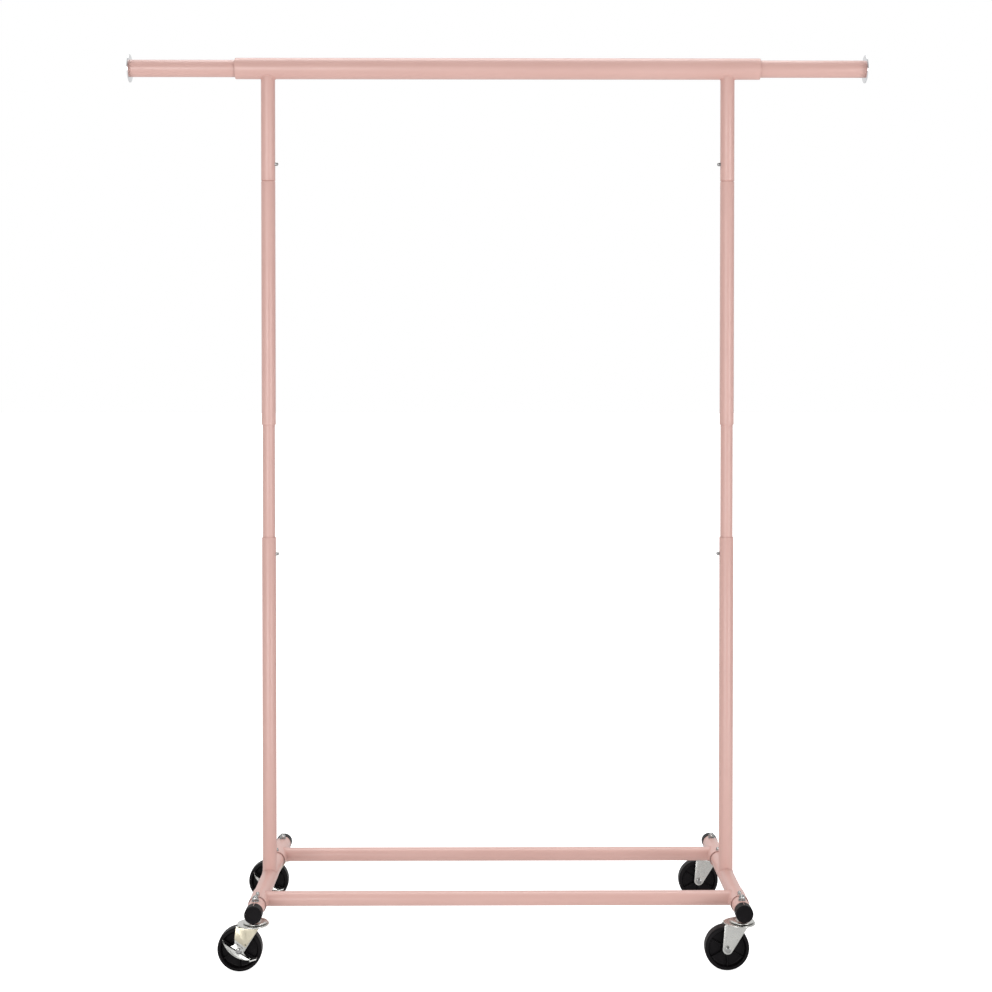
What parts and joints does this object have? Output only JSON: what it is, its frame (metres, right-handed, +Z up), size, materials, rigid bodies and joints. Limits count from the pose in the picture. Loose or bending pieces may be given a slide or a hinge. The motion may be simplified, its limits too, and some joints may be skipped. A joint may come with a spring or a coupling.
{
  "type": "rolling clothes rack",
  "caption": "Rolling clothes rack: foot rails on swivel casters, telescopic posts with snap buttons and a hanging bar with pull-out ends.",
  "frame": {"origin": "on the floor, midway between the two posts and between the front and rear casters", "axes": "+Z up, +X along the hanging bar to the right as seen from the front, -Y to the front"},
  "size_m": [1.33, 0.462, 1.592],
  "materials": {
    "pink_paint": "satin powder coat",
    "chrome": "polished",
    "zinc": "bright zinc plate",
    "spring_steel": "oiled spring steel",
    "black_plastic": "fine moulded",
    "wheel_plastic": "moulded, slight sheen",
    "guide_nylon": "moulded"
  },
  "bodies": {
    "base": {"left_foot_rail": "pink_paint", "right_foot_rail": "pink_paint", "front_base_bar": "pink_paint", "rear_base_bar": "pink_paint", "front_bar_collars": "pink_paint", "rear_bar_collars": "pink_paint", "foot_rail_end_caps": "black_plastic", "left_lower_post": "pink_paint", "right_lower_post": "pink_paint", "base_button_springs": "spring_steel", "caster_stems": "zinc", "caster_stem_nuts": "zinc", "caster_stem_washers": "zinc", "caster_ball_bearings": "zinc"},
    "upper_frame": {"left_inner_post": "pink_paint", "right_inner_post": "pink_paint", "left_middle_post": "pink_paint", "right_middle_post": "pink_paint", "left_upper_post": "pink_paint", "right_upper_post": "pink_paint", "hanging_bar": "pink_paint", "guide_bushes": "guide_nylon", "height_button_springs": "spring_steel", "joint_button_springs": "spring_steel"},
    "left_rod": {"left_extension_rod": "pink_paint", "left_rod_glide": "guide_nylon", "left_end_disc": "chrome"},
    "right_rod": {"right_extension_rod": "pink_paint", "right_rod_glide": "guide_nylon", "right_end_disc": "chrome"},
    "left_height_button": {"left_height_button": "chrome"},
    "right_height_button": {"right_height_button": "chrome"},
    "left_joint_button": {"left_joint_button": "chrome"},
    "right_joint_button": {"right_joint_button": "chrome"},
    "front_left_base_button": {"front_left_base_button": "chrome"},
    "front_right_base_button": {"front_right_base_button": "chrome"},
    "rear_left_base_button": {"rear_left_base_button": "chrome"},
    "rear_right_base_button": {"rear_right_base_button": "chrome"},
    "front_left_caster_swivel": {"front_left_caster_fork": "zinc", "front_left_caster_axle": "zinc", "front_left_caster_axle_sleeve": "zinc", "front_left_caster_brake_plate": "zinc"},
    "front_left_caster_wheel": {"front_left_caster_wheel": "wheel_plastic"},
    "front_left_caster_brake": {"front_left_caster_brake_lever": "zinc"},
    "front_right_caster_swivel": {"front_right_caster_fork": "zinc", "front_right_caster_axle": "zinc", "front_right_caster_axle_sleeve": "zinc"},
    "front_right_caster_wheel": {"front_right_caster_wheel": "wheel_plastic"},
    "rear_left_caster_swivel": {"rear_left_caster_fork": "zinc", "rear_left_caster_axle": "zinc", "rear_left_caster_axle_sleeve": "zinc", "rear_left_caster_brake_plate": "zinc"},
    "rear_left_caster_wheel": {"rear_left_caster_wheel": "wheel_plastic"},
    "rear_left_caster_brake": {"rear_left_caster_brake_lever": "zinc"},
    "rear_right_caster_swivel": {"rear_right_caster_fork": "zinc", "rear_right_caster_axle": "zinc", "rear_right_caster_axle_sleeve": "zinc"},
    "rear_right_caster_wheel": {"rear_right_caster_wheel": "wheel_plastic"}
  },
  "joints": [
    {"name": "height_slide", "type": "slide", "parent": "base", "child": "upper_frame", "axis": [0, 0, 1], "range_m": [-0.2, 0], "deforming": ["left_height_button", "right_height_button", "height_button_springs"]},
    {"name": "left_rod_slide", "type": "slide", "parent": "upper_frame", "child": "left_rod", "axis": [1, 0, 0], "range_m": [0, 0.188]},
    {"name": "right_rod_slide", "type": "slide", "parent": "upper_frame", "child": "right_rod", "axis": [-1, 0, 0], "range_m": [0, 0.188]},
    {"name": "left_height_button_press", "type": "slide", "parent": "upper_frame", "child": "left_height_button", "axis": [-1, 0, 0], "range_m": [0, 0.0072], "stiffness_N_per_m": 700, "springref_m": -0.003, "deforming": ["height_button_springs"]},
    {"name": "right_height_button_press", "type": "slide", "parent": "upper_frame", "child": "right_height_button", "axis": [1, 0, 0], "range_m": [0, 0.0072], "stiffness_N_per_m": 700, "springref_m": -0.003, "deforming": ["height_button_springs"]},
    {"name": "left_joint_button_press", "type": "slide", "parent": "upper_frame", "child": "left_joint_button", "axis": [-1, 0, 0], "range_m": [0, 0.0072], "stiffness_N_per_m": 700, "springref_m": -0.003, "deforming": ["joint_button_springs"]},
    {"name": "right_joint_button_press", "type": "slide", "parent": "upper_frame", "child": "right_joint_button", "axis": [1, 0, 0], "range_m": [0, 0.0072], "stiffness_N_per_m": 700, "springref_m": -0.003, "deforming": ["joint_button_springs"]},
    {"name": "front_left_base_button_press", "type": "slide", "parent": "base", "child": "front_left_base_button", "axis": [0, 0, -1], "range_m": [0, 0.0072], "stiffness_N_per_m": 700, "springref_m": -0.003, "deforming": ["base_button_springs"]},
    {"name": "front_right_base_button_press", "type": "slide", "parent": "base", "child": "front_right_base_button", "axis": [0, 0, -1], "range_m": [0, 0.0072], "stiffness_N_per_m": 700, "springref_m": -0.003, "deforming": ["base_button_springs"]},
    {"name": "rear_left_base_button_press", "type": "slide", "parent": "base", "child": "rear_left_base_button", "axis": [0, 0, -1], "range_m": [0, 0.0072], "stiffness_N_per_m": 700, "springref_m": -0.003, "deforming": ["base_button_springs"]},
    {"name": "rear_right_base_button_press", "type": "slide", "parent": "base", "child": "rear_right_base_button", "axis": [0, 0, -1], "range_m": [0, 0.0072], "stiffness_N_per_m": 700, "springref_m": -0.003, "deforming": ["base_button_springs"]},
    {"name": "front_left_caster_swivel", "type": "hinge", "parent": "base", "child": "front_left_caster_swivel", "pos_m": [-0.415, -0.197, 0.085], "axis": [0, 0, 1], "continuous": true},
    {"name": "front_left_caster_roll", "type": "hinge", "parent": "front_left_caster_swivel", "child": "front_left_caster_wheel", "pos_m": [-0.441, -0.197, 0.038], "axis": [0, 1, 0], "continuous": true},
    {"name": "front_left_caster_brake", "type": "hinge", "parent": "front_left_caster_swivel", "child": "front_left_caster_brake", "pos_m": [-0.441, -0.197, 0.038], "axis": [0, 1, 0], "range_deg": [0, 20]},
    {"name": "front_right_caster_swivel", "type": "hinge", "parent": "base", "child": "front_right_caster_swivel", "pos_m": [0.415, -0.197, 0.085], "axis": [0, 0, 1], "continuous": true},
    {"name": "front_right_caster_roll", "type": "hinge", "parent": "front_right_caster_swivel", "child": "front_right_caster_wheel", "pos_m": [0.389, -0.197, 0.038], "axis": [0, 1, 0], "continuous": true},
    {"name": "rear_left_caster_swivel", "type": "hinge", "parent": "base", "child": "rear_left_caster_swivel", "pos_m": [-0.415, 0.197, 0.085], "axis": [0, 0, 1], "continuous": true},
    {"name": "rear_left_caster_roll", "type": "hinge", "parent": "rear_left_caster_swivel", "child": "rear_left_caster_wheel", "pos_m": [-0.441, 0.197, 0.038], "axis": [0, 1, 0], "continuous": true},
    {"name": "rear_left_caster_brake", "type": "hinge", "parent": "rear_left_caster_swivel", "child": "rear_left_caster_brake", "pos_m": [-0.441, 0.197, 0.038], "axis": [0, 1, 0], "range_deg": [0, 20]},
    {"name": "rear_right_caster_swivel", "type": "hinge", "parent": "base", "child": "rear_right_caster_swivel", "pos_m": [0.415, 0.197, 0.085], "axis": [0, 0, 1], "continuous": true},
    {"name": "rear_right_caster_roll", "type": "hinge", "parent": "rear_right_caster_swivel", "child": "rear_right_caster_wheel", "pos_m": [0.389, 0.197, 0.038], "axis": [0, 1, 0], "continuous": true}
  ]
}
